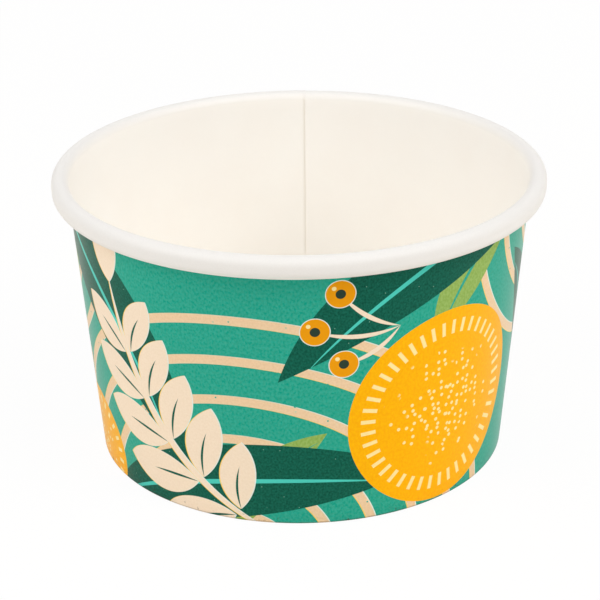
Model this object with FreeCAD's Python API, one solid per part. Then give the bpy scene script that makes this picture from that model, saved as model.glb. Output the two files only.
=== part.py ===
"""A paper dessert cup, built from the two pieces of board that the real one is made of.

side_wall  One fan-shaped blank, wound into a cone and lapped along one seam. Its top edge is rolled
           outwards into the rim, and its bottom edge is folded inwards and up into a hem.
base_disc  A disc of thinner board whose edge is turned down into a skirt. The skirt is glued between
           the wall and the hem, so that the base stands clear of the table.

Sizes are in millimetres. +Z is up, z = 0 is the table, the cup's axis is Z, and the seam is at +Y.
Each piece is a strip of board of one thickness, seen on edge, and then carried round the cup. In that
section a point is given by its distance from the axis and its height above the table.
"""

import FreeCAD
import Part

import math
import os

# The cup as a whole
RIM_DIAMETER = 97.0  # over the rolled rim
CUP_HEIGHT = 57.5
BASE_DIAMETER = 81.4  # over the wall, where its outside would meet the table

# The board
WALL_BOARD = 0.38
BASE_BOARD = 0.30

# The rolled rim
ROLL_WIDTH = 3.66  # from the inside of the wall to the outside of the rim, level with the roll's underside
ROLL_HEIGHT = 4.44
NOSE_INNER_RADIUS = 1.10  # the roll's lower outside corner
TUCK_INNER_RADIUS = 0.50  # the bend that turns the roll back up beside the wall
TUCK_LENGTH = 1.10  # the straight end of the blank, hidden in the roll
TUCK_CLEARANCE = 0.03  # between that end and the wall

# The foot
BASE_HEIGHT = 6.5  # from the table to the upper face of the base
BASE_CORNER_INNER_RADIUS = 0.45  # where the base turns down into its skirt
FOLD_INNER_RADIUS = 0.06  # each corner of the wall's bottom fold
HEM_CLEARANCE = 0.50  # from the hem's cut edge up to the base's corner
SKIRT_CLEARANCE = 0.10  # from the skirt's cut edge down to the fold's corners

# The seam
LAP_WIDTH = 7.0  # how far the blank's outer end reaches past its inner end
LAP_STEP = 0.22  # how far the outer layer stands out, once the two are pressed together

RIM_RADIUS = RIM_DIAMETER / 2
WALL_HALF = WALL_BOARD / 2
BASE_HALF = BASE_BOARD / 2

# How far the wall leans outwards, as its outside rises from the table to the roll's underside
LEAN = math.atan2(
    RIM_RADIUS - ROLL_WIDTH + WALL_BOARD - BASE_DIAMETER / 2,
    CUP_HEIGHT - ROLL_HEIGHT,
)
SIN_LEAN = math.sin(LEAN)
COS_LEAN = math.cos(LEAN)

# Headings along a section: zero is straight out from the axis, and left turns add to it
QUARTER = math.pi / 2
OUT = 0.0
UP_WALL = QUARTER - LEAN
DOWN_WALL = UP_WALL - math.pi


def wall_line(height):
    """Distance from the axis to the middle of the wall's board, at this height."""
    return BASE_DIAMETER / 2 - WALL_HALF / COS_LEAN + height * math.tan(LEAN)


def beside_wall(distance, height):
    """Distance from the axis to a line this far outside the middle of the wall's board, square to it."""
    return wall_line(height) + distance / COS_LEAN


class Strip:
    """A strip of board seen on edge, laid down along its middle line by straight runs and bends."""

    def __init__(self, distance, height, heading, board):
        self.middle = FreeCAD.Vector(0, distance, height)
        self.heading = heading
        self.board = board
        self.left_edges = []
        self.right_edges = []
        self.start = self.faces()

    def left(self):
        """The unit vector that points to the left of the heading."""
        return FreeCAD.Vector(0, -math.sin(self.heading), math.cos(self.heading))

    def faces(self):
        """The points that the strip has reached on its left and its right face."""
        half = self.left() * (self.board / 2)
        return self.middle + half, self.middle - half

    def run(self, length):
        """Carries the strip straight on."""
        before = self.faces()
        ahead = FreeCAD.Vector(0, math.cos(self.heading), math.sin(self.heading))
        self.middle = self.middle + ahead * length
        after = self.faces()
        self.left_edges.append(Part.makeLine(before[0], after[0]))
        self.right_edges.append(Part.makeLine(before[1], after[1]))

    def bend(self, heading, inner_radius):
        """Bends the strip until it has this heading. The radius is that of its inner face."""
        side = math.copysign(1, heading - self.heading)
        radius = side * (inner_radius + self.board / 2)
        centre = self.middle + self.left() * radius
        first = self.faces()
        self.heading, final = (self.heading + heading) / 2, heading
        self.middle = centre - self.left() * radius
        halfway = self.faces()
        self.heading = final
        self.middle = centre - self.left() * radius
        last = self.faces()
        self.left_edges.append(Part.Arc(first[0], halfway[0], last[0]).toShape())
        self.right_edges.append(Part.Arc(first[1], halfway[1], last[1]).toShape())

    def section(self):
        """The strip's section as a face, with a square cut at each end."""
        cuts = [Part.makeLine(*self.start), Part.makeLine(*self.faces())]
        edges = Part.__sortEdges__(self.left_edges + self.right_edges + cuts)
        return Part.Face(Part.Wire(edges))


def carried_round(section, axis, angle):
    """A section carried round an upright axis that crosses the Y axis at this place."""
    place = FreeCAD.Vector(0, axis, 0)
    return section.translated(place).revolve(place, FreeCAD.Vector(0, 0, 1), angle)


def wound(section_at, extra=()):
    """A strip wound once round the cup, as one solid that steps by LAP_STEP where its ends meet.

    The winding is two half turns about axes a little apart. They meet smoothly at -Y. At +Y the strip
    starts towards +X on the inside, and comes back from -X on the outside.
    """
    quarter_step = LAP_STEP / 4
    right_half = carried_round(section_at(-quarter_step), -quarter_step, -180)
    left_half = carried_round(section_at(quarter_step), quarter_step, 180)
    return right_half.fuse([left_half, *extra]).removeSplitter()


# The foot, worked out from the wall's lean and the two boards
SKIRT_INSET = (WALL_BOARD + BASE_BOARD) / 2  # from the middle of the wall to the middle of the skirt
CORNER_RADIUS = BASE_CORNER_INNER_RADIUS + BASE_HALF
CORNER_CENTRE_HEIGHT = BASE_HEIGHT - BASE_HALF - CORNER_RADIUS
SKIRT_TOP = CORNER_CENTRE_HEIGHT - CORNER_RADIUS * SIN_LEAN
HEM_TOP = SKIRT_TOP - HEM_CLEARANCE
FOLD_RADIUS = FOLD_INNER_RADIUS + WALL_HALF
FOLD_CENTRE_HEIGHT = FOLD_RADIUS + WALL_HALF
SKIRT_BOTTOM = FOLD_CENTRE_HEIGHT + SKIRT_CLEARANCE

# The roll: its top bend ends straight down, at the rim's outside
TOP_BEND_RADIUS = (RIM_RADIUS - WALL_HALF - wall_line(CUP_HEIGHT - WALL_HALF)) / (
    1 + COS_LEAN - (1 - SIN_LEAN) * math.tan(LEAN)
)
ROLL_START = CUP_HEIGHT - WALL_HALF - TOP_BEND_RADIUS * (1 - SIN_LEAN)
NOSE_RADIUS = NOSE_INNER_RADIUS + WALL_HALF
NOSE_CENTRE = RIM_RADIUS - WALL_HALF - NOSE_RADIUS
TUCK_RADIUS = TUCK_INNER_RADIUS + WALL_HALF
TUCK_CENTRE_HEIGHT = CUP_HEIGHT - ROLL_HEIGHT + WALL_HALF + TUCK_RADIUS
TUCK_CENTRE = beside_wall(WALL_BOARD + TUCK_CLEARANCE + TUCK_RADIUS, TUCK_CENTRE_HEIGHT)


def hem_and_wall(hem_shift, wall_shift, top):
    """The wall's strip from the hem's cut edge, round the bottom fold and up the wall to this height."""
    fold_inside = beside_wall(FOLD_RADIUS - WALL_BOARD - BASE_BOARD, FOLD_CENTRE_HEIGHT) + hem_shift
    fold_outside = beside_wall(-FOLD_RADIUS, FOLD_CENTRE_HEIGHT) + wall_shift
    hem_line = beside_wall(-WALL_BOARD - BASE_BOARD, HEM_TOP) + hem_shift
    strip = Strip(hem_line, HEM_TOP, DOWN_WALL, WALL_BOARD)
    strip.run((HEM_TOP - FOLD_CENTRE_HEIGHT - FOLD_RADIUS * SIN_LEAN) / COS_LEAN)
    strip.bend(OUT, FOLD_INNER_RADIUS)
    strip.run(fold_outside - fold_inside)
    strip.bend(UP_WALL, FOLD_INNER_RADIUS)
    strip.run((top - strip.middle.z) / COS_LEAN)
    return strip


def wall_section(shift):
    """The whole wall: hem, fold, wall and rolled rim, moved out from the axis by this much."""
    strip = hem_and_wall(shift, shift, ROLL_START)
    strip.bend(-QUARTER, TOP_BEND_RADIUS - WALL_HALF)
    strip.run(ROLL_HEIGHT - WALL_BOARD - TOP_BEND_RADIUS - NOSE_RADIUS)
    strip.bend(-math.pi, NOSE_INNER_RADIUS)
    strip.run(NOSE_CENTRE - TUCK_CENTRE)
    strip.bend(UP_WALL - 2 * math.pi, TUCK_INNER_RADIUS)
    strip.run(TUCK_LENGTH)
    return strip.section()


def base_section(shift):
    """The base from the axis to its corner, and the skirt, moved out from the axis by this much."""
    corner_centre = beside_wall(-SKIRT_INSET - CORNER_RADIUS, CORNER_CENTRE_HEIGHT)
    strip = Strip(0, BASE_HEIGHT - BASE_HALF, OUT, BASE_BOARD)
    strip.run(corner_centre + shift)
    strip.bend(DOWN_WALL, BASE_CORNER_INNER_RADIUS)
    strip.run((SKIRT_TOP - SKIRT_BOTTOM) / COS_LEAN)
    return strip.section()


def lap():
    """The blank's outer end, which laps over its inner end, outside the wall and inside the hem."""
    inner_layer = -LAP_STEP / 4
    strip = hem_and_wall(inner_layer - LAP_STEP, inner_layer + LAP_STEP, TUCK_CENTRE_HEIGHT)
    angle = math.degrees(LAP_WIDTH / wall_line(CUP_HEIGHT / 2))
    return carried_round(strip.section(), inner_layer, -angle)


os.makedirs("parts", exist_ok=True)
NODES = {
    "side_wall": wound(wall_section, [lap()]),
    "base_disc": wound(base_section),
}
for name, shape in NODES.items():
    shape.exportStep(f"parts/{name}.step")
    box = shape.optimalBoundingBox(False)
    print(
        f"{name}: {len(shape.Solids)} solid, {shape.Volume:.0f} mm3,",
        f"{box.XLength:.2f} x {box.YLength:.2f} x {box.ZLength:.2f} mm",
    )
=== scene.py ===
# %% [markdown]
# # A paper dessert cup
#
# A paper cup is two pieces of board. A fan-shaped blank is wound into a cone, lapped and sealed along
# one seam, rolled outwards at the top and folded in at the bottom. A disc of thinner board, with its
# edge turned down into a skirt, is held in that fold.
#
# The construction model already has both pieces at their real size. Here each one is made again as
# thin board with cut edges, small unevennesses and a printed, coated finish.
#
# The first cell loads the construction model. Everything else is placed by it, in metres.

# %% Load the frame
import math

import bpy
from mathutils import Matrix, Vector, noise


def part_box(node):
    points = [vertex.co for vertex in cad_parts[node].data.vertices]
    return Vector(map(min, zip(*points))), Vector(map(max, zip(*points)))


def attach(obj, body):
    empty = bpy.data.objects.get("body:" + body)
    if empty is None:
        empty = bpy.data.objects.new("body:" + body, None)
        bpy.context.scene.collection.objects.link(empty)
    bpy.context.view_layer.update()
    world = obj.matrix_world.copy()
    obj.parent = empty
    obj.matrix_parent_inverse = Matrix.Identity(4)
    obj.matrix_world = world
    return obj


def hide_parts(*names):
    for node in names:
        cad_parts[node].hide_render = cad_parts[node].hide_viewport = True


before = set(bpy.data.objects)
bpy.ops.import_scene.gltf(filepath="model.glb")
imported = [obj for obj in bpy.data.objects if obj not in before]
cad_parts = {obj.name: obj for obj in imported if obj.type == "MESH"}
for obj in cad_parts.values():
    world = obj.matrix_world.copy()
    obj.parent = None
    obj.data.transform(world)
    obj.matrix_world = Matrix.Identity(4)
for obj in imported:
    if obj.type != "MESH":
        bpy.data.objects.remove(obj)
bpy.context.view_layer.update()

# %% [markdown]
# ## The camera
#
# A product photograph like this is taken from a little way off with a long lens, so the rim's two
# sides are nearly as large as its front. The camera is built from the direction it looks in, and not
# turned by hand, because its small roll and its swing round the cup can then be given as angles.

# %% Camera
MM = 0.001
CAMERA_DISTANCE = 421.5 * MM
CAMERA_ELEVATION = math.radians(23.64)
CAMERA_SWING = math.radians(1.8)  # to the right, so that the seam inside the cup is right of the middle
CAMERA_ROLL = math.radians(-0.73)
AIM_HEIGHT = 29 * MM
LENS = 125.3  # on a sensor 36 mm wide
SHIFT_UP = -0.0038
SHIFT_RIGHT = -0.0013


def make_camera():
    """A camera that looks at the cup's axis, from above and from the front."""
    camera = bpy.data.objects.new("camera", bpy.data.cameras.new("camera"))
    bpy.context.collection.objects.link(camera)
    camera.data.lens = LENS
    camera.data.shift_y = SHIFT_UP
    camera.data.shift_x = SHIFT_RIGHT
    front = Vector((math.sin(CAMERA_SWING), -math.cos(CAMERA_SWING), 0))
    back = front * math.cos(CAMERA_ELEVATION) + Vector((0, 0, math.sin(CAMERA_ELEVATION)))
    level = Vector((math.cos(CAMERA_SWING), math.sin(CAMERA_SWING), 0))
    upright = back.cross(level)
    right = level * math.cos(CAMERA_ROLL) + upright * math.sin(CAMERA_ROLL)
    up = back.cross(right)
    axes = Matrix((right, up, back)).transposed().to_4x4()
    place = Vector((0, 0, AIM_HEIGHT)) + back * CAMERA_DISTANCE
    camera.matrix_world = Matrix.Translation(place) @ axes
    return camera


scene = bpy.context.scene
scene.camera = make_camera()
scene.view_settings.view_transform = "Standard"
print(f"the camera stands {CAMERA_DISTANCE / MM:.0f} mm away and has a {LENS:.0f} mm lens")

# %% [markdown]
# ## Node arithmetic
#
# Every finish here is made of nodes. Wiring hundreds of Math nodes by hand hides what they work out, so
# a small class wraps a node's output and lets plain Python arithmetic add the nodes.

# %% Node arithmetic
class Value:
    """One output of a node. Arithmetic on it adds Math nodes to the same tree."""

    def __init__(self, tree, socket):
        self.tree = tree
        self.socket = socket

    def maths(self, operation, *others, clamp=False):
        inputs = dict(enumerate((self, *others)))
        return add_node(self.tree, "ShaderNodeMath", inputs, operation=operation, use_clamp=clamp)

    def __add__(self, other):
        return self.maths("ADD", other)

    def __sub__(self, other):
        return self.maths("SUBTRACT", other)

    def __rsub__(self, other):
        return add_node(self.tree, "ShaderNodeMath", {0: other, 1: self}, operation="SUBTRACT")

    def __mul__(self, other):
        return self.maths("MULTIPLY", other)

    def __truediv__(self, other):
        return self.maths("DIVIDE", other)

    def __abs__(self):
        return self.maths("ABSOLUTE")

    __radd__ = __add__
    __rmul__ = __mul__


def add_node(tree, kind, inputs=None, output=0, **settings):
    """A node with its settings made first, and then its sockets filled with values or links."""
    node = tree.nodes.new(kind)
    for name, setting in settings.items():
        setattr(node, name, setting)
    for socket, value in (inputs or {}).items():
        if isinstance(value, Value):
            tree.links.new(value.socket, node.inputs[socket])
        else:
            node.inputs[socket].default_value = value
    return None if output is None else Value(tree, node.outputs[output])


# %% [markdown]
# ## Light and floor
#
# The photograph has a white ground and very soft light. A white world seen by the camera gives the
# ground its white, while a dimmer one lights the cup, so that pale board doesn't clip. A large lamp on
# each side and a weaker one above give the soft shading on the roll and inside.

# %% Light and floor
WORLD_FILL = 0.47  # how strongly the world lights the cup, where one is the white that the camera sees
PURE_WHITE = (1, 1, 1, 1)
FLOOR_SIZE = 4.0
FLOOR_SEEN = 0.955  # how much of the floor's white the camera sees without any shadow
FLOOR_COLOUR = (0.97, 0.93, 0.88, 1)
LAMPS = (  # name, place, power, side of the square
    ("top lamp", (0.20, -0.35, 1.15), 1.9, 0.7),
    ("left lamp", (-0.90, -0.40, 0.90), 6.8, 0.8),
    ("right lamp", (0.90, -0.40, 0.90), 7.1, 0.8),
)


def ray_is(tree, kind):
    """One for rays of this kind, and zero for the others."""
    return add_node(tree, "ShaderNodeLightPath", output=f"Is {kind} Ray")


def make_world():
    """A white world for what the camera sees and for glosses, and a dimmer one as light."""
    world = bpy.data.worlds.new("studio")
    world.use_nodes = True
    tree = world.node_tree
    seen = ray_is(tree, "Camera").maths("MAXIMUM", ray_is(tree, "Glossy"))
    seen = seen.maths("MAXIMUM", ray_is(tree, "Transmission"))
    strength = seen * (1 - WORLD_FILL) + WORLD_FILL
    background = tree.nodes["Background"]
    background.inputs["Color"].default_value = PURE_WHITE
    tree.links.new(strength.socket, background.inputs["Strength"])
    return world


def make_floor():
    """A white floor. Part of what the camera sees of it is plain white, so its shadow is faint."""
    bpy.ops.mesh.primitive_plane_add(size=FLOOR_SIZE)
    floor = bpy.context.object
    floor.name = "floor"
    material = bpy.data.materials.new("floor")
    material.use_nodes = True
    tree = material.node_tree
    white = add_node(tree, "ShaderNodeBsdfDiffuse", {"Color": FLOOR_COLOUR})
    glow = add_node(tree, "ShaderNodeEmission", {"Color": PURE_WHITE})
    share = ray_is(tree, "Camera") * FLOOR_SEEN
    surface = add_node(tree, "ShaderNodeMixShader", {0: share, 1: white, 2: glow})
    tree.links.new(surface.socket, tree.nodes["Material Output"].inputs["Surface"])
    floor.data.materials.append(material)


def make_lamp(name, place, power, size):
    """A large square lamp that faces the cup."""
    lamp = bpy.data.objects.new(name, bpy.data.lights.new(name, "AREA"))
    bpy.context.collection.objects.link(lamp)
    lamp.data.energy = power
    lamp.data.size = size
    lamp.location = place
    towards = Vector(place) - Vector((0, 0, AIM_HEIGHT))
    lamp.rotation_euler = towards.to_track_quat("Z", "Y").to_euler()


scene.world = make_world()
make_floor()
for lamp in LAMPS:
    make_lamp(*lamp)
print(f"{len(LAMPS)} lamps and a world of {WORLD_FILL} light the cup")

# %% [markdown]
# ## The board's sizes
#
# The cup's outside sizes are read from the construction model. The board's own sizes are those of the
# real thing: board under 0.4 mm thick, a roll with a hollow inside, and a fold pressed nearly flat.
# The wall's lean follows from the rim, the roll and the foot.

# %% Sizes
wall_low, wall_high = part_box("side_wall")
base_low, base_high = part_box("base_disc")
RIM_RADIUS = (wall_high.x - wall_low.x) / 2
CUP_HEIGHT = wall_high.z
BASE_HEIGHT = base_high.z
FOOT_RADIUS = 40.7 * MM  # the outside of the wall, where it would meet the table

WALL_BOARD = 0.38 * MM
BASE_BOARD = 0.30 * MM
ROLL_WIDTH = 3.66 * MM
ROLL_HEIGHT = 4.44 * MM
NOSE_RADIUS = 1.60 * MM  # radii of bends are those of the board's middle
TUCK_RADIUS = 0.69 * MM
TUCK_LENGTH = 1.10 * MM
TUCK_CLEARANCE = 0.03 * MM
FOLD_RADIUS = 0.25 * MM
CORNER_RADIUS = 0.60 * MM
HEM_CLEARANCE = 0.50 * MM
SKIRT_CLEARANCE = 0.10 * MM
LAP_WIDTH = 7.0 * MM
LAP_STEP = 0.22 * MM

LEAN = math.atan2(RIM_RADIUS - ROLL_WIDTH + WALL_BOARD - FOOT_RADIUS, CUP_HEIGHT - ROLL_HEIGHT)
SIN_LEAN = math.sin(LEAN)
COS_LEAN = math.cos(LEAN)


def wall_line(height):
    """Distance from the axis to the middle of the wall's board, at this height."""
    return FOOT_RADIUS - WALL_BOARD / 2 / COS_LEAN + height * math.tan(LEAN)


def beside_wall(distance, height):
    """Distance from the axis to a line this far outside the middle of the wall's board."""
    return wall_line(height) + distance / COS_LEAN


CORNER_HEIGHT = BASE_HEIGHT - BASE_BOARD / 2 - CORNER_RADIUS
SKIRT_TOP = CORNER_HEIGHT - CORNER_RADIUS * SIN_LEAN
HEM_TOP = SKIRT_TOP - HEM_CLEARANCE
FOLD_HEIGHT = FOLD_RADIUS + WALL_BOARD / 2
SKIRT_BOTTOM = FOLD_HEIGHT + SKIRT_CLEARANCE
TOP_BEND_RADIUS = (RIM_RADIUS - WALL_BOARD / 2 - wall_line(CUP_HEIGHT - WALL_BOARD / 2)) / (
    1 + COS_LEAN - (1 - SIN_LEAN) * math.tan(LEAN)
)
ROLL_START = CUP_HEIGHT - WALL_BOARD / 2 - TOP_BEND_RADIUS * (1 - SIN_LEAN)
TUCK_HEIGHT = CUP_HEIGHT - ROLL_HEIGHT + WALL_BOARD / 2 + TUCK_RADIUS
NOSE_CENTRE = RIM_RADIUS - WALL_BOARD / 2 - NOSE_RADIUS
TUCK_CENTRE = beside_wall(WALL_BOARD + TUCK_CLEARANCE + TUCK_RADIUS, TUCK_HEIGHT)
print(f"the wall leans {math.degrees(LEAN):.2f} degrees")
print(f"the roll's top bend has a radius of {TOP_BEND_RADIUS / MM:.2f} mm")

# %% [markdown]
# ## Drawing the board's edge
#
# Seen on edge, the board is a line with straight runs and bends. It could be a curve object, but a mesh
# line keeps exact counts of points, which later become even rows of faces. The pen below starts with a
# plane that is merged into one point. A run extrudes that point, and a bend spins it round a centre.

# %% A pen that extrudes and spins
QUARTER = math.pi / 2
OUT = 0.0
UP_WALL = QUARTER - LEAN
DOWN_WALL = UP_WALL - math.pi


def nothing_selected():
    """Leaves object mode with nothing selected, so that an operator acts only on what comes next."""
    if bpy.context.object and bpy.context.object.mode != "OBJECT":
        bpy.ops.object.mode_set(mode="OBJECT")
    bpy.ops.object.select_all(action="DESELECT")


class Pen:
    """Draws a line in the plane of Y and Z. A heading of zero is straight out, and left turns add."""

    def __init__(self, name, distance, height, heading):
        nothing_selected()
        bpy.ops.mesh.primitive_plane_add(size=MM, location=(0, 0, 0))
        self.piece = bpy.context.object
        self.piece.name = name
        self.piece.data.name = name
        self.point = Vector((0, distance, height))
        self.heading = heading
        bpy.ops.object.mode_set(mode="EDIT")
        bpy.ops.mesh.merge(type="CENTER")
        bpy.ops.transform.translate(value=self.point)

    def run(self, length, steps=1):
        """Carries the line straight on."""
        ahead = Vector((0, math.cos(self.heading), math.sin(self.heading))) * length
        for _ in range(steps):
            bpy.ops.mesh.extrude_region()
            bpy.ops.transform.translate(value=ahead / steps)
        self.point = self.point + ahead

    def bend(self, heading, radius, steps):
        """Bends the line until it has this heading. A spin's angle counts clockwise."""
        turn = heading - self.heading
        left = Vector((0, -math.sin(self.heading), math.cos(self.heading)))
        centre = self.point + left * math.copysign(radius, turn)
        bpy.ops.mesh.spin(steps=steps, angle=-turn, center=centre, axis=(1, 0, 0))
        self.point = centre + Matrix.Rotation(turn, 3, "X") @ (self.point - centre)
        self.heading = heading


def number_along(piece):
    """Stores at each point of an open line how far along it the point lies, from its first point."""
    mesh = piece.data
    beside = {}
    for edge in mesh.edges:
        first, second = edge.vertices
        beside.setdefault(first, []).append(second)
        beside.setdefault(second, []).append(first)
    along = mesh.attributes.new("along", "FLOAT", "POINT").data
    seen, here, distance = set(), 0, 0.0
    while here is not None:
        seen.add(here)
        along[here].value = distance
        ahead = [point for point in beside[here] if point not in seen]
        if ahead:
            distance += (mesh.vertices[ahead[0]].co - mesh.vertices[here].co).length
        here = ahead[0] if ahead else None
    return distance


# %% [markdown]
# ## The wall's section
#
# The line starts at the cut edge of the hem, goes down, round the bottom fold, up the wall, and out and
# down into the rolled rim. It ends hidden in the roll. It is drawn at the seam, where the blank's outer
# end lies half a step further out than the rest.

# %% Draw the wall's section
WALL_ROWS = 26


def draw_wall_section():
    """The blank seen on edge, from the hem's cut edge to the end that is hidden in the roll."""
    shift = LAP_STEP / 2
    fold_inside = beside_wall(FOLD_RADIUS - WALL_BOARD - BASE_BOARD, FOLD_HEIGHT)
    fold_outside = beside_wall(-FOLD_RADIUS, FOLD_HEIGHT)
    hem_line = beside_wall(-WALL_BOARD - BASE_BOARD, HEM_TOP)
    pen = Pen("wall", hem_line + shift, HEM_TOP, DOWN_WALL)
    pen.run((HEM_TOP - FOLD_HEIGHT - FOLD_RADIUS * SIN_LEAN) / COS_LEAN, 4)
    pen.bend(OUT, FOLD_RADIUS, 5)
    pen.run(fold_outside - fold_inside)
    pen.bend(UP_WALL, FOLD_RADIUS, 5)
    pen.run((ROLL_START - pen.point.z) / COS_LEAN, WALL_ROWS)
    pen.bend(-QUARTER, TOP_BEND_RADIUS, 18)
    pen.run(ROLL_HEIGHT - WALL_BOARD - TOP_BEND_RADIUS - NOSE_RADIUS, 2)
    pen.bend(-math.pi, NOSE_RADIUS, 8)
    pen.run(NOSE_CENTRE - TUCK_CENTRE)
    pen.bend(UP_WALL - 2 * math.pi, TUCK_RADIUS, 6)
    pen.run(TUCK_LENGTH)
    nothing_selected()
    return pen.piece


wall = draw_wall_section()
strip_length = number_along(wall)
print(f"the blank is {strip_length / MM:.1f} mm high, in {len(wall.data.vertices)} points")

# %% [markdown]
# ## Winding the blank
#
# A plain full spin would close the cone on itself. A real blank is a spiral: its outer end laps over
# its inner end. Two half turns about axes a hair apart make that spiral and stay smooth where they
# meet, at the front. A short third spin carries the outer end on, over the inner one, up to the roll.

# %% Select points and spin them
def select_points(piece, chosen):
    """Selects these points of a mesh, and only these, and goes to edit mode."""
    nothing_selected()
    piece.select_set(True)
    bpy.context.view_layer.objects.active = piece
    mesh = piece.data
    wanted = set(chosen)
    for point in mesh.vertices:
        point.select = point.index in wanted
    for edge in mesh.edges:
        edge.select = all(point in wanted for point in edge.vertices)
    for face in mesh.polygons:
        face.select = False
    bpy.ops.object.mode_set(mode="EDIT")


def spin_on(piece, chosen, offset, turn, steps):
    """Spins these points about an upright axis, anticlockwise from above, and counts the new points."""
    before = len(piece.data.vertices)
    select_points(piece, chosen)
    bpy.ops.mesh.spin(steps=steps, angle=-turn, center=(0, offset, 0), axis=(0, 0, 1))
    nothing_selected()
    return range(before, len(piece.data.vertices))


# %% Wind the blank
HALF_TURN_STEPS = 168
LAP_ANGLE = LAP_WIDTH / wall_line(CUP_HEIGHT / 2)
LAP_STEPS = 8
AXIS_OFFSET = LAP_STEP / 4


def along_at(piece, distance, height):
    """How far along the section its point nearest to this place lies."""
    place = Vector((0, distance + LAP_STEP / 2, height))
    nearest = min(piece.data.vertices, key=lambda point: (point.co - place).length)
    return piece.data.attributes["along"].data[nearest.index].value


def wind_blank(piece):
    """Winds the section into the cone, and stores each point's angle from the front.

    Returns the points of the lap.
    """
    first = range(len(piece.data.vertices))
    along = [value.value for value in piece.data.attributes["along"].data]
    on_lap = [
        point
        for point in first
        if along[point] <= ROLL_MARK and piece.data.vertices[point].co.z <= TUCK_HEIGHT
    ]
    left = spin_on(piece, first, AXIS_OFFSET, math.pi, HALF_TURN_STEPS)
    right = spin_on(piece, left[-len(first):], -AXIS_OFFSET, math.pi, HALF_TURN_STEPS)
    lap = spin_on(piece, on_lap, -AXIS_OFFSET, -LAP_ANGLE, LAP_STEPS)
    angle = piece.data.attributes.new("angle", "FLOAT", "POINT").data
    turned = (  # points, offset of their axis, and one where the angles count up from the front
        (first, AXIS_OFFSET, -1),
        (left, AXIS_OFFSET, -1),
        (right, -AXIS_OFFSET, 1),
        (lap, -AXIS_OFFSET, -1),
    )
    for points, offset, side in turned:
        for point in points:
            place = piece.data.vertices[point].co
            turn = math.atan2(place.x, offset - place.y)
            if turn * side < -QUARTER:
                turn += side * 2 * math.pi
            angle[point].value = turn
    return set(lap)


WALL_MARK = along_at(wall, beside_wall(0, FOLD_HEIGHT), FOLD_HEIGHT)
ROLL_MARK = along_at(wall, beside_wall(0, ROLL_START), ROLL_START)
lap_points = wind_blank(wall)
print(f"the wound blank has {len(wall.data.polygons)} faces")

# %% [markdown]
# ## Pressing the lap, and the small unevennesses
#
# Where two layers lap they are pressed, so each is thinner there, and the lap stands out by less than
# one board. The weight group made here tells the Solidify modifier how thick each place is.
#
# No paper cup is quite round either. Most of the dents below are a tenth of a millimetre or two deep,
# and lie where the outline in the photograph leaves a true cone. The roll has two small kinks, and slow
# noise does the rest. The dents and kinks are worked out first, as plain lengths at each place.

# %% Dents and waves
WAVE_DEPTH = 0.07 * MM
WAVE_ROUND = 2.2  # how often the waves come round the wall, and up it in each millimetre
WAVE_UP = 0.05
ROLL_WAVE_DEPTH = 0.06 * MM
ROLL_SLOW, ROLL_QUICK, ROLL_DOWN = 3.1, 9, 3.7  # how often each of the roll's waves comes
QUICK_SHARE = 0.5
DOWN_SHARE = 0.6
QUICK_PLACE, DOWN_PLACE = Vector((0, 0, 5)), Vector((0, 0, 9))  # so that no two waves are alike

# angle from the front, how far it steps down there, how sharply, and how far round it is felt
ROLL_KINKS = ((-14.3, 0.17, 0.6, 4.5), (-157.5, -0.16, 2.0, 6.0))

# angle from the front and height in degrees and millimetres, reach of each, and depth outwards
DENTS = (
    (88, 27, 14, 5, 0.10),
    (88, 15.5, 14, 2.5, -0.10),
    (86, 2.0, 10, 1.2, -0.14),
    (84, 0.2, 20, 1.0, 0.12),
    (-88, 51.5, 20, 2.6, -0.68),
    (-88, 34, 20, 18, -0.10),
    (-88, 13, 12, 3.0, -0.08),
    (-86, 0.2, 24, 1.6, 0.10),
    (88, 41, 14, 4, 0.16),
    (66, 0.5, 20, 4.0, 0.26),
    (35, 1.0, 12, 2.0, 0.06),
    (-30, 1.2, 9, 2.0, -0.05),
)


def fade(value, start, end):
    """Zero up to the start, one from the end, and smooth between."""
    share = min(max((value - start) / (end - start), 0), 1)
    return share * share * (3 - 2 * share)


def dent_depth(turn, height):
    """How far the wall stands out of a true cone, at this angle from the front and this height."""
    depth = 0
    for degrees, level, wide, tall, out in DENTS:
        across = (math.degrees(turn) - degrees) / wide
        up = (height / MM - level) / tall
        depth += out * MM * math.exp(-across * across - up * up)
    place = (math.sin(turn) * WAVE_ROUND, math.cos(turn) * WAVE_ROUND, height / MM * WAVE_UP)
    return depth + WAVE_DEPTH * noise.noise(Vector(place))


def roll_wave(turn):
    """How far the roll is lifted or pushed out at this angle, as two small lengths."""
    around = Vector((math.sin(turn), math.cos(turn), 0))
    quick = noise.noise(around * ROLL_QUICK + QUICK_PLACE)
    out = noise.noise(around * ROLL_SLOW) + QUICK_SHARE * quick
    up = noise.noise(around * ROLL_DOWN + DOWN_PLACE)
    lift = ROLL_WAVE_DEPTH * DOWN_SHARE * min(up, 0)
    for degrees, drop, sharp, wide in ROLL_KINKS:
        across = math.degrees(turn) - degrees
        lift -= drop * MM * (1 + math.tanh(across / sharp)) * math.exp(-((across / wide) ** 2))
    return ROLL_WAVE_DEPTH * out, lift


print(f"{len(DENTS)} dents, up to {max(abs(dent[-1]) for dent in DENTS)} mm, and {len(ROLL_KINKS)} kinks")

# %% Press and dent the wall
PRESSED_BOARD = (WALL_BOARD + LAP_STEP) / 2
PRESS_SHIFT = (WALL_BOARD - PRESSED_BOARD) / 2
PRESS_FADE = math.radians(2)
PRESS_STOP = 2 * MM  # the pressing fades out over the millimetre above here, counted down from the roll
ROLL_BLEND = 3 * MM  # over which the wall's dents give way to the roll's waves
HEM_LAP_SHIFT = 2 * LAP_STEP
LAP_REST_LOW, LAP_REST_HIGH = 0.6 * MM, 3 * MM  # where the layer under the lap makes room at the fold


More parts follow.
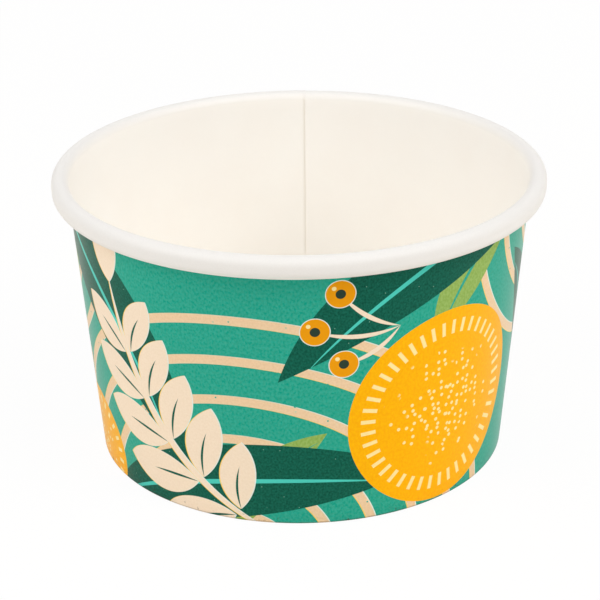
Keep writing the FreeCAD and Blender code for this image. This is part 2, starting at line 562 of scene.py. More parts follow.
def shape_wall(piece):
    """Presses the lap and dents the wall. Stores each point's share of the board's full thickness."""
    along = piece.data.attributes["along"].data
    angle = piece.data.attributes["angle"].data
    full = piece.vertex_groups.new(name="full board")
    for point in piece.data.vertices:
        here, turn = along[point.index].value, angle[point.index].value
        outer = fade(-turn, math.pi - PRESS_FADE, math.pi)
        inner = fade(turn, math.pi - LAP_ANGLE - PRESS_FADE, math.pi - LAP_ANGLE)
        unrolled = 1 - fade(here, ROLL_MARK - PRESS_STOP, ROLL_MARK - MM)
        pressed = max(outer, inner) * unrolled
        full.add([point.index], 1 - pressed, "REPLACE")
        on_wall = fade(here, WALL_MARK - MM / 2, WALL_MARK)
        shift = PRESS_SHIFT * unrolled * (outer - inner) * (2 * on_wall - 1)
        if point.index in lap_points:
            shift -= (1 - on_wall) * HEM_LAP_SHIFT
        rolled = fade(here, ROLL_MARK - ROLL_BLEND, ROLL_MARK)
        out, up = roll_wave(turn)
        shift += on_wall * (1 - rolled) * dent_depth(turn, point.co.z) + rolled * out
        under_lap = inner * (1 - fade(point.co.z, LAP_REST_LOW, LAP_REST_HIGH))
        lift = up * rolled + under_lap * PRESSED_BOARD - outer * (1 - on_wall) * PRESS_SHIFT
        outwards = Vector((math.sin(turn), -math.cos(turn), 0))
        point.co += outwards * shift + Vector((0, 0, lift))


shape_wall(wall)
print(f"each layer of the lap is pressed to {PRESSED_BOARD / MM:.2f} mm")

# %% [markdown]
# ## The flat blank
#
# Unwound, a cone's wall is a piece of a ring. The map made here puts every point where it lies on that
# flat fan, in millimetres, with the front of the cup at the top of the arc. Print designed on it comes
# out undistorted on the cup, and is cut off at the seam, as on the real thing.

# %% Map the blank flat
BLANK_RADIUS = wall_line(0) / SIN_LEAN / MM
WALL_MARK_REACH = FOLD_HEIGHT / COS_LEAN / MM


def flat_place(turn, reach):
    """A place on the flat blank: the angle from the front, and how far above the foot's line."""
    angle = turn * SIN_LEAN
    radius = BLANK_RADIUS + reach
    return radius * math.sin(angle), radius * math.cos(angle) - BLANK_RADIUS


def map_blank(piece):
    """Gives the sheet a map on which each place lies as on the flat blank, in millimetres."""
    along = piece.data.attributes["along"].data
    angle = piece.data.attributes["angle"].data
    layer = piece.data.uv_layers.new(name="Blank")
    for corner in piece.data.loops:
        point = corner.vertex_index
        reach = WALL_MARK_REACH + (along[point].value - WALL_MARK) / MM
        layer.data[corner.index].uv = flat_place(angle[point].value, reach)


map_blank(wall)
print(f"flat, the line of the foot is an arc with a radius of {BLANK_RADIUS:.0f} mm")

# %% [markdown]
# ## Thickness and cut edges
#
# The Solidify modifier turns the thin sheet into board. It gives the printed side, the white side and
# the cut edges a material each, so the raw edge of the board shows at the seam, where it really does.

# %% Give the wall its thickness
SMOOTH_ANGLE = math.radians(40)


def face_towards(piece, place, way):
    """Turns all the sheet's faces round, unless the one nearest to this place looks this way."""
    near = min(piece.data.polygons, key=lambda face: (face.center - place).length)
    if near.normal.dot(way) < 0:
        bpy.ops.object.mode_set(mode="EDIT")
        bpy.ops.mesh.flip_normals()
        bpy.ops.object.mode_set(mode="OBJECT")


def thicken(piece, board, materials, place, way):
    """Makes the sheet into board. Its first material goes on the side that looks this way here."""
    for name in materials:
        piece.data.materials.append(bpy.data.materials.new(name))
    select_points(piece, range(len(piece.data.vertices)))
    bpy.ops.mesh.select_all(action="SELECT")
    bpy.ops.mesh.remove_doubles(threshold=1e-7)
    bpy.ops.mesh.normals_make_consistent(inside=False)
    bpy.ops.object.mode_set(mode="OBJECT")
    face_towards(piece, place, way)
    solidify = piece.modifiers.new("board", "SOLIDIFY")
    solidify.thickness = board
    solidify.offset = 0
    solidify.use_even_offset = True
    solidify.material_offset = 1
    solidify.material_offset_rim = 2
    if piece.vertex_groups:
        solidify.vertex_group = piece.vertex_groups[0].name
        solidify.thickness_vertex_group = PRESSED_BOARD / board
    bpy.ops.object.modifier_apply(modifier=solidify.name)
    bpy.ops.object.shade_smooth_by_angle(angle=SMOOTH_ANGLE)


thicken(
    wall,
    WALL_BOARD,
    ("printed side", "white side", "cut edge"),
    Vector((0, -wall_line(CUP_HEIGHT / 2), CUP_HEIGHT / 2)),
    Vector((0, -1, 0)),
)
print(f"the wall has {len(wall.data.polygons)} faces")

# %% [markdown]
# ## The base
#
# The base is a disc of thinner board with a skirt. Its section runs from the skirt's cut edge up and in
# to the axis, and one full spin closes it. Its rim then follows the wall's slight spiral, and the disc
# sags by a fraction of a millimetre, as a sheet held only by its edge does.

# %% Make the base
BASE_STEPS = 160
BASE_RINGS = 14
SAG = 0.22 * MM
SAG_WAVE = 0.05 * MM
SAG_WAVE_RATE = 40  # in each metre
SEAM_BLEND = math.radians(5)


def draw_base_section():
    """The base seen on edge, from the skirt's cut edge to the axis."""
    skirt_line = beside_wall(-(WALL_BOARD + BASE_BOARD) / 2, SKIRT_BOTTOM)
    pen = Pen("base", skirt_line, SKIRT_BOTTOM, UP_WALL)
    pen.run((SKIRT_TOP - SKIRT_BOTTOM) / COS_LEAN, 3)
    pen.bend(math.pi, CORNER_RADIUS, 6)
    pen.run(pen.point.y, BASE_RINGS)
    nothing_selected()
    return pen.piece


def shape_base(piece):
    """Makes the base's edge follow the wall's spiral, and lets the disc sag."""
    rim = wall_line(BASE_HEIGHT)
    for point in piece.data.vertices:
        across = point.co.xy.length
        turn = math.atan2(point.co.x, -point.co.y)
        step = -math.copysign(LAP_STEP / 4, turn) * (1 - math.cos(turn))
        step += LAP_STEP * fade(turn, math.pi - SEAM_BLEND, math.pi)
        share = min(across / rim, 1)
        wave = SAG_WAVE * noise.noise(point.co * SAG_WAVE_RATE)
        sag = SAG * (1 - share * share) + wave * (1 - share**4)
        point.co += Vector((math.sin(turn), -math.cos(turn), 0)) * step * share**8
        point.co.z -= sag


base = draw_base_section()
spin_on(base, range(len(base.data.vertices)), 0, 2 * math.pi, BASE_STEPS)
shape_base(base)
thicken(
    base,
    BASE_BOARD,
    ("base inside", "base underside", "base cut edge"),
    Vector((0, 0, BASE_HEIGHT)),
    Vector((0, 0, 1)),
)
print(f"the base has {len(base.data.polygons)} faces")

# %% [markdown]
# ## Drawing print as distances
#
# Print could be an image, but an image has only so many pixels. A shader can work a shape out instead,
# as the distance from its edge: below zero inside it and above zero outside, in millimetres on the flat
# blank. The greater of two distances is the overlap of two shapes, and the lesser joins them.
#
# Nearly all the print here is made of discs, rings and leaves. A leaf is the overlap of two discs, or
# one disc less another where both of its edges curve the same way.

# %% Shapes as distances
SOFT_EDGE = 0.06  # how far ink spreads at an edge, in millimetres


def at(degrees, height):
    """A place on the flat blank, from the angle round the cup and the height above the table."""
    return flat_place(math.radians(degrees), height / COS_LEAN)


def distance_to(place, centre):
    """How far each place on the surface is from this centre."""
    inputs = {0: place, 1: (*centre, 0)}
    return add_node(place.tree, "ShaderNodeVectorMath", inputs, output="Value", operation="DISTANCE")


def disc(place, centre, radius):
    """A disc round this centre."""
    return distance_to(place, centre) - radius


def both(first, second):
    """Where two shapes overlap."""
    return first.maths("MAXIMUM", second)


def either(shapes):
    """Several shapes joined."""
    joined = shapes[0]
    for shape in shapes[1:]:
        joined = joined.maths("MINIMUM", shape)
    return joined


def arc_centre(start, end, bulge):
    """The centre and radius of the arc between two places that bulges this far to the left."""
    start, end = Vector(start), Vector(end)
    across = end - start
    left = Vector((-across.y, across.x)).normalized()
    radius = (across.length_squared / 4 + bulge * bulge) / (2 * abs(bulge))
    return (start + end) / 2 + left * (bulge - math.copysign(radius, bulge)), radius


def one_side(place, start, end, bulge):
    """What lies on the right of an arc, as seen from its start towards its end."""
    centre, radius = arc_centre(start, end, bulge)
    gap = distance_to(place, centre)
    return gap - radius if bulge > 0 else radius - gap


def leaf(place, base, tip, left, right):
    """A leaf between two arcs, which bulge this far to the left and to the right of its chord."""
    return both(one_side(place, base, tip, left), one_side(place, tip, base, right))


def rib(place, base, tip, curve, width):
    """A thin curved line that is widest in its middle and pointed at both ends."""
    return leaf(place, base, tip, curve + width / 2, width / 2 - curve)


def ripples(place, centre, spacing, width, reach):
    """Rings round one centre, evenly spaced, out to this reach."""
    gap = distance_to(place, centre)
    return both(gap.maths("PINGPONG", spacing / 2) - width / 2, gap - reach)


# %% [markdown]
# ## Strokes, and a line to lay leaflets on
#
# Two shapes here are easier to draw by angle. Short strokes stand round a centre like a clock's marks.
# A sprig's stem is an arc, and its leaflets would each need a turn of their own. Instead the arc is
# straightened: a place is turned into how far along the stem it lies and how far beside it. Leaflets
# drawn on one side of that straight line come out in pairs, one on each side of the real stem.

# %% Strokes and straightened arcs
def offset_from(place, centre):
    """The place as seen from this centre."""
    inputs = {0: place, 1: (*centre, 0)}
    return add_node(place.tree, "ShaderNodeVectorMath", inputs, operation="SUBTRACT")


def turn_of(offset):
    """The angle at which an offset points, anticlockwise from X."""
    across = add_node(offset.tree, "ShaderNodeSeparateXYZ", {0: offset}, output="X")
    along = add_node(offset.tree, "ShaderNodeSeparateXYZ", {0: offset}, output="Y")
    return along.maths("ARCTAN2", across)


def rays(place, centre, count, inner, outer, width):
    """Short strokes round a centre, all pointing away from it."""
    turn = turn_of(offset_from(place, centre)) * (count / 2 / math.pi)
    gap = distance_to(place, centre)
    beside = turn.maths("PINGPONG", 0.5) * gap * (2 * math.pi / count) - width / 2
    return both(beside, abs(gap - (inner + outer) / 2) - (outer - inner) / 2)


def bent(place, start, end, bulge):
    """Straightens an arc: how far along it a place lies, and how far to either side of it."""
    centre, radius = arc_centre(start, end, bulge)
    towards = Vector(start) - centre
    turn = math.atan2(towards.y, towards.x)
    side = 1 if bulge < 0 else -1
    inputs = {"Vector": offset_from(place, centre), "Angle": -turn}
    offset = add_node(place.tree, "ShaderNodeVectorRotate", inputs, rotation_type="Z_AXIS")
    run = turn_of(offset) * (side * radius)
    away = abs(distance_to(place, centre) - radius)
    return add_node(place.tree, "ShaderNodeCombineXYZ", {"X": run, "Y": away})


def arc_length(start, end, bulge):
    """The length of the arc between two places, which bulges by less than half a circle."""
    radius = arc_centre(start, end, bulge)[1]
    chord = (Vector(end) - Vector(start)).length
    return 2 * radius * math.asin(min(chord / 2 / radius, 1))


# %% [markdown]
# ## Inks
#
# Printed colours are written as on a colour chart, from 0 to 255, and turned into the linear values
# that a shader wants. No ink lies quite flat on board: the coated fibres show as a faint mottling that
# is a little drawn out upright. So each ink is a mix of a lighter and a darker tone by noise.

# %% Inks
def chart(red, green, blue):
    """A colour from a chart, as linear values."""
    return tuple(linear(level / 255) for level in (red, green, blue)) + (1,)


def linear(level):
    """One level of a chart's colour, from 0 to 1, as a linear value."""
    return level / 12.92 if level <= 0.04045 else ((level + 0.055) / 1.055) ** 2.4


TEAL_LIGHT, TEAL_DARK = chart(50, 172, 150), chart(0, 157, 134)
DARK_LIGHT, DARK_DEEP = chart(14, 100, 81), chart(0, 76, 60)
LEAF_LIGHT, LEAF_DEEP = chart(154, 186, 100), chart(138, 171, 80)
CREAM, CREAM_DEEP = chart(247, 227, 203), chart(243, 222, 196)
TAN_LIGHT, TAN_DEEP = chart(240, 209, 171), chart(234, 201, 160)
GOLD_LIGHT, GOLD_DEEP = chart(255, 187, 0), chart(252, 175, 0)
PALE_GOLD = chart(255, 232, 160)
RIB_TEAL = chart(76, 204, 188)
YELLOW_EDGE = chart(250, 208, 96)
PALE_EDGE = chart(228, 238, 230)
CORE_INK = chart(44, 63, 51)
OCHRE_INK = chart(236, 156, 8)
# the brown of the scuffs by the fold, and of the painted shade along the fold
SCUFF_AND_FOLD_SHADE_BROWN = chart(70, 52, 30)
FOLD_TAN = chart(176, 128, 84)
SPECK_PALE = chart(120, 172, 150)
BLOOM = chart(72, 164, 138)  # where the coat dulls the greens a little
BARE_BOARD = chart(243, 238, 228)
print("the teal's darker tone in linear values:", [round(level, 3) for level in TEAL_DARK[:3]])


# %% Ways to lay ink
SPECK_EDGE = 0.08  # how soft a speck's edge is


def mixed(tree, share, first, second):
    """A mix of two colours. A share of zero gives the first."""
    inputs = {0: share, 6: first, 7: second}
    return add_node(tree, "ShaderNodeMix", inputs, output=2, data_type="RGBA")


def cover(shape, soft=SOFT_EDGE):
    """How much of a place a shape covers: one inside it, and zero outside."""
    return shape.maths("MULTIPLY_ADD", -1 / soft, 0.5, clamp=True)


def grain(place, scale, detail=2.0, stretch=1.0):
    """Noise about one half, in grains per millimetre, drawn out upright by this stretch."""
    inputs = {"Vector": place, "Scale": (scale, scale / stretch, scale)}
    scaled = add_node(place.tree, "ShaderNodeMapping", inputs, vector_type="POINT")
    return add_node(place.tree, "ShaderNodeTexNoise", {"Vector": scaled, "Scale": 1.0, "Detail": detail})


def spread(noise_value, contrast):
    """Noise with more contrast about its middle, kept between zero and one."""
    return ((noise_value - 0.5) * contrast + 0.5).maths("ADD", 0, clamp=True)


def slid(place, way):
    """The place moved this way, for a pattern that is to lie elsewhere."""
    return add_node(place.tree, "ShaderNodeVectorMath", {0: place, 1: way}, operation="ADD")


def specks(place, spacing, size, share):
    """Round specks, on average one to each spacing where the share is one."""
    inputs = {"Vector": place, "Scale": 1 / spacing}
    gap = add_node(place.tree, "ShaderNodeTexVoronoi", inputs, output="Distance", voronoi_dimensions="2D")
    pick = add_node(place.tree, "ShaderNodeTexVoronoi", inputs, output="Color", voronoi_dimensions="2D")
    pick = add_node(place.tree, "ShaderNodeSeparateXYZ", {0: pick}, output="X")
    return cover(both(gap * spacing - size, (pick - share) * spacing), SPECK_EDGE)


# %% [markdown]
# ## The design
#
# The cup carries a generic design of its own: golden suns with stippled hearts, arched leaves, pale
# sprigs, berries and ripples on teal, in the colours and the scale of a printed dessert cup. Every shape
# is placed by the angle round the cup and the height. The blank reaches from 180 degrees round to -189,
# where its outer end laps over the other. Nothing repeats, and the seam cuts the design.

# %% Lay out the design
RIPPLES = (  # centre, spacing, width, reach
    (at(-14, -7), 8.4, 1.9, 54),
    (at(93, 60), 8.8, 1.9, 42),
    (at(-104, 64), 8.4, 1.9, 46),
    (at(-158, -8), 8.8, 1.9, 50),
    (at(158, 66), 8.4, 1.9, 44),
)
DARK_LEAVES = (  # base, tip, bulge to the left, bulge to the right, curve of the rib
    (at(84, 59), at(-4, 31), -3, 19, -10),
    (at(-100, 58), at(-30, 10), 20, -2.5, 11),
    (at(-66, -7), at(33, 9), 17, -1, 9),
    (at(98, -5), at(68, 47), 0.4, 12, -6),
    (at(-176, 58), at(-116, 9), 18, -2, 10),
    (at(178, 34), at(108, 22), 4, 12, -4),
    (at(110, -6), at(150, 42), 13, 0.4, 6),
    (at(-150, -6), at(-187, 36), 1, 12, -6),
    (at(-86, -5), at(-108, 38), 4, 10, -4),
)
PALE_LEAVES = (
    (at(64, 59), at(36, 36), 2, 8.5, -3),
    (at(-20, -5), at(8, 20), 7, 1, 3),
    (at(-78, 58), at(-96, 24), 8, 0.8, 3.4),
    (at(122, 58), at(142, 30), 2, 7, -2.5),
    (at(180, -5), at(158, 18), 7, 1, 3),
    (at(-128, -6), at(-140, 28), 1, 7, -3),
)
SUNS = (  # centre, radius
    (at(41, 21), 20.5),
    (at(-72, 4), 11.5),
    (at(-132, 27), 16.0),
    (at(136, 9), 14.5),
)
SPRIGS = (  # start, end, bulge, number of pairs, length of a leaflet
    (at(-3, -3), at(-52, 46), 7.5, 5, 17.0),
    (at(106, 5), at(92, 50), -5.0, 4, 14.0),
    (at(166, -3), at(172, 50), 6.0, 5, 15.0),
    (at(-106, -3), at(-168, 44), -6.5, 5, 16.0),
)
BERRIES = (  # where the stems meet, and the berries
    (at(26, 41), (at(11, 49), at(5, 41.5), at(12, 34.5))),
    (at(-92, 22), (at(-84, 30), at(-93, 33), at(-80, 21))),
    (at(104, 30), (at(112, 38), at(117, 30))),
    (at(-176, 22), (at(-170, 12), at(-179, 9), at(-164, 20))),
    (at(-104, 44), (at(-113, 49), at(-117, 41))),
)
print(f"{len(SPRIGS)} sprigs, {len(SUNS)} suns and {len(DARK_LEAVES) + len(PALE_LEAVES)} leaves")

# %% [markdown]
# ## Sprigs and leaves, as groups of nodes
#
# The pale shapes are needed twice, so each is made once as a node group, which takes a place and gives
# distances. A function does the wiring, and the list of shapes says what is drawn.

# %% Make groups of shapes
FIRST_PAIR, PAIRS_REACH = 0.16, 0.74  # of the stem: what lies below the first pair, and what has pairs
PAIR_LEAN, LEAN_LOST = 52, 16  # degrees from the stem at the first pair, and how much is lost by the end
SHRINKING, LARGEST = 0.30, 0.25  # how much shorter leaflets get away from the largest, and where it is
STEM_HALF = 0.9  # where a leaflet leaves the stem, in millimetres from the stem's middle
STEM_WIDTH = 1.7
STEM_BEFORE, STEM_AFTER = -2, 1  # how far the stem reaches past its ends
NEARLY_STRAIGHT = 0.001
INNER_BULGE, OUTER_BULGE, END_BULGE = 0.23, 0.26, 0.24  # as shares of a leaflet's length
END_ROOT, END_TIP = 0.10, 0.85
SLIT_REACH, SLIT_CURVE, SLIT_WIDTH = 0.62, -0.5, 0.5
RIB_REACH = 0.93
PALE_RIB, DARK_RIB = 0.8, 1.0


def group_of(name, shapes_at):
    """A node group that takes a place on the blank and gives several distances."""
    group = bpy.data.node_groups.new(name, "ShaderNodeTree")
    group.interface.new_socket("Place", in_out="INPUT", socket_type="NodeSocketVector")
    place = add_node(group, "NodeGroupInput")
    shapes = shapes_at(place)
    for number in range(len(shapes)):
        group.interface.new_socket(f"Shape {number}", in_out="OUTPUT", socket_type="NodeSocketFloat")
    add_node(group, "NodeGroupOutput", dict(enumerate(shapes)), output=None)
    return group, len(shapes)


def from_group(place, made):
    """The distances that a node group works out for this place."""
    group, count = made
    node = add_node(place.tree, "ShaderNodeGroup", {"Place": place}, node_tree=group).socket.node
    return [Value(place.tree, node.outputs[number]) for number in range(count)]


def sprig_parts(place, start, end, bulge, pairs, size):
    """A sprig's leaflets and stem, and the fine slits that part each leaflet."""
    line = bent(place, start, end, bulge)
    length = arc_length(start, end, bulge)
    pale, slits = [], []
    for pair in range(pairs):
        share = pair / pairs
        base = length * (FIRST_PAIR + PAIRS_REACH * share)
        long = size * (1 - SHRINKING * abs(share - LARGEST))
        lean = math.radians(PAIR_LEAN - LEAN_LOST * share)
        tip = (base + long * math.cos(lean), STEM_HALF + long * math.sin(lean))
        root = (base, STEM_HALF)
        pale.append(leaf(line, root, tip, long * INNER_BULGE, long * OUTER_BULGE))
        slit_end = Vector(root).lerp(Vector(tip), SLIT_REACH)
        slits.append(rib(line, root, slit_end, SLIT_CURVE, SLIT_WIDTH))
    root, tip = (length - size * END_ROOT, 0), (length + size * END_TIP, 0)
    pale.append(leaf(line, root, tip, size * END_BULGE, size * END_BULGE))
    stem = rib(line, (STEM_BEFORE, 0), (length + STEM_AFTER, 0), NEARLY_STRAIGHT, STEM_WIDTH)
    return either([*pale, stem]), either(slits)


def leaf_parts(place, leaves, rib_width):
    """Leaves, each with a rib, as two distances."""
    shapes = either([leaf(place, *shape[:4]) for shape in leaves])
    ribs = [
        rib(place, base, Vector(base).lerp(Vector(tip), RIB_REACH), curve, rib_width)
        for base, tip, _, _, curve in leaves
    ]
    return shapes, both(either(ribs), shapes)


RING_GROUP = group_of("ripples", lambda place: [either([ripples(place, *ring) for ring in RIPPLES])])
SPRIG_GROUPS = [
    group_of("sprig", lambda place, sprig=sprig: sprig_parts(place, *sprig)) for sprig in SPRIGS
]
PALE_LEAF_GROUP = group_of("pale leaves", lambda place: leaf_parts(place, PALE_LEAVES, PALE_RIB))
DARK_LEAF_GROUP = group_of("dark leaves", lambda place: leaf_parts(place, DARK_LEAVES, DARK_RIB))


def pale_shapes(place):
    """The ripples, the sprigs and the slits in their leaflets, as three distances."""
    rings = from_group(place, RING_GROUP)[0]
    sprigs, slits = zip(*[from_group(place, made) for made in SPRIG_GROUPS])
    return rings, either(sprigs), either(slits)


print(f"{len(SPRIG_GROUPS) + 3} groups of shapes")

# %% [markdown]
# ## Printing the design
#
# The layers go down in order, each as a mix over the last. On a real press one plate always sits a
# fraction of a millimetre off the others, so pale shapes have a thin yellow line on one edge and a
# whitish one on the other. The pale shapes are worked out twice, a little apart, to give just that.

# %% Layers of the design
STROKES_PER_MM = 2.1  # of a sun's radius
STROKE_START, STROKE_END, STROKE_WIDTH = 0.74, 0.88, 0.8  # two shares of the radius, and millimetres
STIPPLE_REACH = 0.68  # of a sun's radius
STIPPLE_SPACING, STIPPLE_RADIUS, STIPPLE_SHARE = 1.5, 0.36, 1.2
BERRY_RADIUS = 2.7
BERRY_EDGE = 0.16
EYE_INSET = -1.75  # from the berry's outline
GLINT_OFFSET, GLINT_RADIUS = 1.2, 0.42
BERRY_STEM_CURVE, BERRY_STEM_WIDTH = 1.2, 0.9


def leaf_layer(tree, place, colour, made, ink, rib_ink):
    """Leaves of one ink over what is printed already, and their ribs."""
    shapes, ribs = from_group(place, made)
    colour = mixed(tree, cover(shapes), colour, ink)
    return mixed(tree, cover(ribs), colour, rib_ink)


def sun_layer(tree, place, colour, ink):
    """Suns with a ring of strokes, and dots that thin out from the middle."""
    for centre, radius in SUNS:
        colour = mixed(tree, cover(disc(place, centre, radius)), colour, ink)
        count = round(radius * STROKES_PER_MM)
        inner, outer = radius * STROKE_START, radius * STROKE_END
        strokes = rays(place, centre, count, inner, outer, STROKE_WIDTH)
        colour = mixed(tree, cover(strokes), colour, PALE_GOLD)
    nearness = [
        1 - distance_to(place, centre) / (radius * STIPPLE_REACH) for centre, radius in SUNS
    ]
    nearest = nearness[0]
    for other in nearness[1:]:
        nearest = both(nearest, other)
    dots = specks(place, STIPPLE_SPACING, STIPPLE_RADIUS, nearest * STIPPLE_SHARE)
    return mixed(tree, dots, colour, PALE_GOLD)


def berry_layer(tree, place, colour, stem_ink, ink):
    """Golden berries with dark eyes, each at the end of a pale stem."""
    stems = [
        rib(place, root, berry, BERRY_STEM_CURVE, BERRY_STEM_WIDTH)
        for root, berries in BERRIES
        for berry in berries
    ]
    centres = [berry for _, berries in BERRIES for berry in berries]
    colour = mixed(tree, cover(either(stems)), colour, stem_ink)
    for extra, layer_ink in ((BERRY_EDGE, PALE_EDGE), (0, ink), (EYE_INSET, CORE_INK)):
        discs = either([disc(place, centre, BERRY_RADIUS + extra) for centre in centres])
        colour = mixed(tree, cover(discs), colour, layer_ink)
    glints = [disc(place, (x - GLINT_OFFSET, y + GLINT_OFFSET), GLINT_RADIUS) for x, y in centres]
    return mixed(tree, cover(either(glints)), colour, PALE_GOLD)


# %% Print the design
PLATE_SLIP = (0.20, 0.05, 0)
MOTTLE_CONTRAST = 3.6
MOTTLE_DETAIL = 3.0
BLOOM_PLACE = (31, 17, 0)  # so that it doesn't follow the mottle
BLOOM_ON_TEAL, BLOOM_ON_DARK = 0.42, 0.06
DARK_SPECKS = (3.3, 0.09, 0.3)  # spacing, radius and share
FLECKS = (1.5, 0.20, 0.10)


def printed_colour(tree, place):
    """All the layers of print on the flat blank."""
    mottle = spread(grain(place, 2.1, MOTTLE_DETAIL, 1.4), MOTTLE_CONTRAST)
    fine = spread(grain(place, 2.5, MOTTLE_DETAIL, 1.2), MOTTLE_CONTRAST)
    bloom = spread(grain(slid(place, BLOOM_PLACE), 2.3, MOTTLE_DETAIL, 1.2), MOTTLE_CONTRAST)
    teal = mixed(tree, mottle, TEAL_DARK, TEAL_LIGHT)
    teal = mixed(tree, bloom * BLOOM_ON_TEAL, teal, BLOOM)
    dark = mixed(tree, fine, DARK_DEEP, DARK_LIGHT)
    dark = mixed(tree, bloom * BLOOM_ON_DARK, dark, BLOOM)
    light = mixed(tree, mottle, LEAF_DEEP, LEAF_LIGHT)
    cream = mixed(tree, fine, CREAM_DEEP, CREAM)
    tan = mixed(tree, fine, TAN_DEEP, TAN_LIGHT)
    gold = mixed(tree, mottle, GOLD_DEEP, GOLD_LIGHT)
    dark = mixed(tree, specks(place, *DARK_SPECKS), dark, SPECK_PALE)
    rings, sprigs, slits = pale_shapes(place)
    slip_rings, slip_sprigs, _ = pale_shapes(slid(place, PLATE_SLIP))
    unflecked = 1 - specks(place, *FLECKS)

    colour = mixed(tree, cover(slip_rings) * unflecked, teal, YELLOW_EDGE)
    colour = mixed(tree, cover(rings) * unflecked, colour, PALE_EDGE)
    colour = mixed(tree, cover(both(rings, slip_rings)) * unflecked, colour, tan)
    colour = leaf_layer(tree, place, colour, PALE_LEAF_GROUP, light, teal)
    colour = leaf_layer(tree, place, colour, DARK_LEAF_GROUP, dark, RIB_TEAL)
    colour = sun_layer(tree, place, colour, gold)
    colour = mixed(tree, cover(slip_sprigs), colour, YELLOW_EDGE)
    colour = mixed(tree, cover(sprigs), colour, PALE_EDGE)
    colour = mixed(tree, cover(both(sprigs, slip_sprigs)), colour, cream)
    colour = mixed(tree, cover(both(slits, sprigs)), colour, dark)
    return berry_layer(tree, place, colour, cream, OCHRE_INK)


# %% [markdown]
# ## The board's finishes
#
# Both sides of cup board are coated, with no deep gloss. The white side shows the board's warm tone and
# a fine grain. On the roll it is painted a little greyer, as painted shade, so that the roll looks darker
# than the inside of the cup. The cut edge has no coating: it is rough, darker and fibrous.

# %% White board and cut edges
ROLL_SHADE_REACH = WALL_MARK_REACH + (ROLL_MARK - WALL_MARK) / MM + 0.8  # where the roll's painted shade sets in
ROLL_SHADE_FADE = 1.8
BROAD, FINE = 0.10, 3.2  # how many of the white board's mottles come in a millimetre
BROAD_SHARE, FINE_SHARE = 1.2, 0.5
FIBRE_RATE, FIBRE_DETAIL = 2.6, 3.0
WHITE_RELIEF = 0.006 * MM
WHITE_GLOSS = 0.2
EDGE_LIGHT, EDGE_DEEP = chart(250, 242, 226), chart(230, 219, 196)
EDGE_FIBRE_RATE = 6.0
EDGE_RELIEF = 0.03 * MM
EDGE_ROUGHNESS = 0.85


def finish(name):
    """A board's material made ready: its tree, its shader and the place on the piece in millimetres."""
    material = bpy.data.materials[name]
    material.use_nodes = True
    tree = material.node_tree
    place = add_node(tree, "ShaderNodeTexCoord", output="Object")
    place = add_node(tree, "ShaderNodeVectorMath", {0: place, "Scale": 1 / MM}, operation="SCALE")
    return tree, tree.nodes["Principled BSDF"], place


def join_to(tree, value, shader, socket):
    """Links a value to one of the shader's sockets."""
    tree.links.new(value.socket, shader.inputs[socket])


def flat_map(tree):
    """The place on the flat blank, in millimetres."""
    return add_node(tree, "ShaderNodeUVMap", uv_map="Blank")


def reach_on(flat):
    """How far up the blank a place lies, in millimetres from the line of the foot."""
    return distance_to(flat, (0, -BLANK_RADIUS)) - BLANK_RADIUS


def bumped(tree, shader, height, depth):
    """Gives the surface this relief. The depth is in metres."""
    inputs = {"Height": height, "Distance": depth, "Strength": 1.0}
    join_to(tree, add_node(tree, "ShaderNodeBump", inputs), shader, "Normal")


def white_finish(name, light, deep, roughness, fibres=1.0, roll_shade=None):
    """White coated board, faintly mottled. The roll may be painted greyer, as painted shade."""
    tree, shader, place = finish(name)
    broad = grain(place, BROAD)
    fine = grain(place, FINE)
    tone = (broad - 0.5) * BROAD_SHARE + (fine - 0.5) * FINE_SHARE + 0.5
    colour = mixed(tree, tone.maths("ADD", 0, clamp=True), deep, light)
    # painted shade: the roll's white is painted greyer, so that the roll is darker than the inside of the
    # cup
    if roll_shade:
        reach = reach_on(flat_map(tree))
        rolled = cover(ROLL_SHADE_REACH - reach, ROLL_SHADE_FADE)
        colour = mixed(tree, rolled, colour, mixed(tree, fine, *roll_shade))
    join_to(tree, colour, shader, "Base Color")
    relief = grain(place, FIBRE_RATE, FIBRE_DETAIL) + broad
    bumped(tree, shader, relief, WHITE_RELIEF * fibres)
    shader.inputs["Roughness"].default_value = roughness
    shader.inputs["Specular IOR Level"].default_value = WHITE_GLOSS


def cut_finish(name):
    """The raw edge of the board: fibres in layers, without a coating."""
    tree, shader, place = finish(name)
    fibre = grain(place, EDGE_FIBRE_RATE, FIBRE_DETAIL)
    join_to(tree, mixed(tree, fibre, EDGE_DEEP, EDGE_LIGHT), shader, "Base Color")
    bumped(tree, shader, fibre, EDGE_RELIEF)
    shader.inputs["Roughness"].default_value = EDGE_ROUGHNESS
    shader.inputs["Specular IOR Level"].default_value = WHITE_GLOSS


# The inside of the wall, the base's upper face and its underside: lighter tone, darker tone, roughness
WHITE_SIDE = (chart(254, 251, 245), chart(252, 247, 240), 0.45)
BASE_INSIDE = (chart(246, 242, 235), chart(241, 236, 227), 0.45)
BASE_UNDERSIDE = (chart(243, 238, 229), chart(237, 230, 218), 0.6)
UNDERSIDE_FIBRES = 2.0
# painted shade: the greyer white painted on the roll, for the shade it gets at the bend
PAINTED_ROLL_SHADE = (chart(230, 227, 223), chart(236, 233, 229))
white_finish("white side", *WHITE_SIDE, roll_shade=PAINTED_ROLL_SHADE)
white_finish("base inside", *BASE_INSIDE)
white_finish("base underside", *BASE_UNDERSIDE, UNDERSIDE_FIBRES)
cut_finish("cut edge")
cut_finish("base cut edge")
print("finished: the white side, the base and the cut edges")
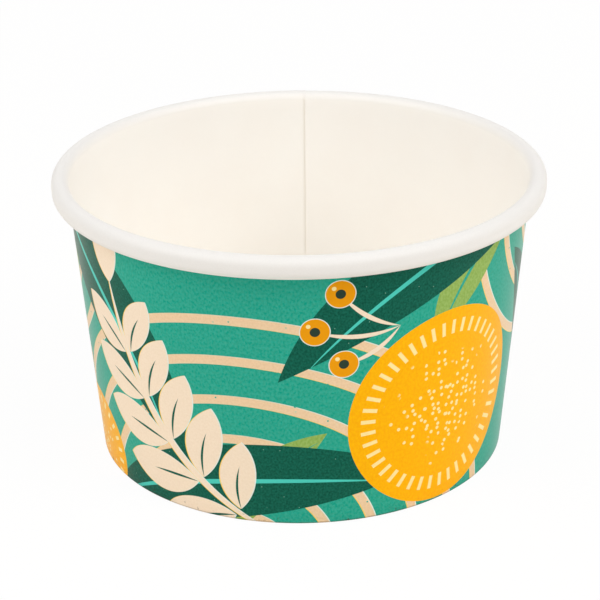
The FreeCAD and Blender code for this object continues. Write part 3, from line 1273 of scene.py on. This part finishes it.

# %% [markdown]
# ## The printed side
#
# Ink and coat together are dull seen face on, and paler where the wall turns away from the eye, which a
# little sheen gives. Ink breaks where board is folded hard, so a tan line follows the bottom fold, with a
# few scuffs beside it. A brown line on the fold, nearer the wall than the tan one, is painted shade where
# the wall turns under. Inside the hem the print stops, and the board is bare.

# %% Printed board
PRINT_END = -3.0  # how far the print goes round the fold and up the hem, in millimetres
WORN_LINE = (0.14, 0.16, 0.10, 0.8)  # place on the blank, wandering, softness and share
# painted shade: a brown line on the fold, where the wall turns under
PAINTED_FOLD_SHADE = (0.36, 0.20, 0.20, 0.45)
WANDER_RATE = 0.35
SCUFF_LEVEL, SCUFF_RATE, SCUFF_SOFT, SCUFF_SHARE = 0.66, 0.9, 0.05, 0.6
SCUFF_DETAIL = 4.0
SCUFF_TOP, SCUFF_FADE = 1.3, 1.2  # how high above the foot's line the scuffs reach
WARP_RATE = 0.12
PRINT_RELIEF = 0.005 * MM
PRINT_SOCKETS = {
    "Roughness": 0.45,
    "Specular IOR Level": 0.05,
    "Sheen Weight": 0.5,
    "Sheen Roughness": 0.3,
}


def folded(reach, wander, place, wandering, soft, share):
    """A line along the fold, at this place, whose width wanders."""
    return cover(abs(reach - place) - wander * wandering, soft) * share


def printed_finish(name):
    """Printed and coated board. The print stops inside the hem, where the board is bare white."""
    tree, shader, place = finish(name)
    flat = flat_map(tree)
    reach = reach_on(flat)
    colour = printed_colour(tree, flat)
    wander = grain(place, WANDER_RATE)
    colour = mixed(tree, folded(reach, wander, *WORN_LINE), colour, FOLD_TAN)
    # painted shade along the fold, in the scuffs' brown
    colour = mixed(tree, folded(reach, wander, *PAINTED_FOLD_SHADE), colour, SCUFF_AND_FOLD_SHADE_BROWN)
    scuffed = cover(SCUFF_LEVEL - grain(place, SCUFF_RATE, SCUFF_DETAIL), SCUFF_SOFT)
    scuffed = scuffed * cover(reach - SCUFF_TOP, SCUFF_FADE) * SCUFF_SHARE
    colour = mixed(tree, scuffed, colour, SCUFF_AND_FOLD_SHADE_BROWN)
    colour = mixed(tree, cover(reach - PRINT_END), colour, BARE_BOARD)
    join_to(tree, colour, shader, "Base Color")
    relief = grain(place, FIBRE_RATE, FIBRE_DETAIL) + grain(place, WARP_RATE)
    bumped(tree, shader, relief, PRINT_RELIEF)
    for socket, value in PRINT_SOCKETS.items():
        shader.inputs[socket].default_value = value


printed_finish("printed side")
node_count = len(bpy.data.materials["printed side"].node_tree.nodes)
print(f"the print is worked out by {node_count} nodes")

# %% [markdown]
# ## Handing the pieces to the frame
#
# Each piece stands in for the node of the construction model that it dresses.

# %% Place the pieces in the frame
DRESSED = ((wall, "side_wall", "printed_board"), (base, "base_disc", "white_board"))
for piece, node, slot in DRESSED:
    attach(piece, "root")
    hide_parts(node)
    print(f"{piece.name} stands in for {node}")
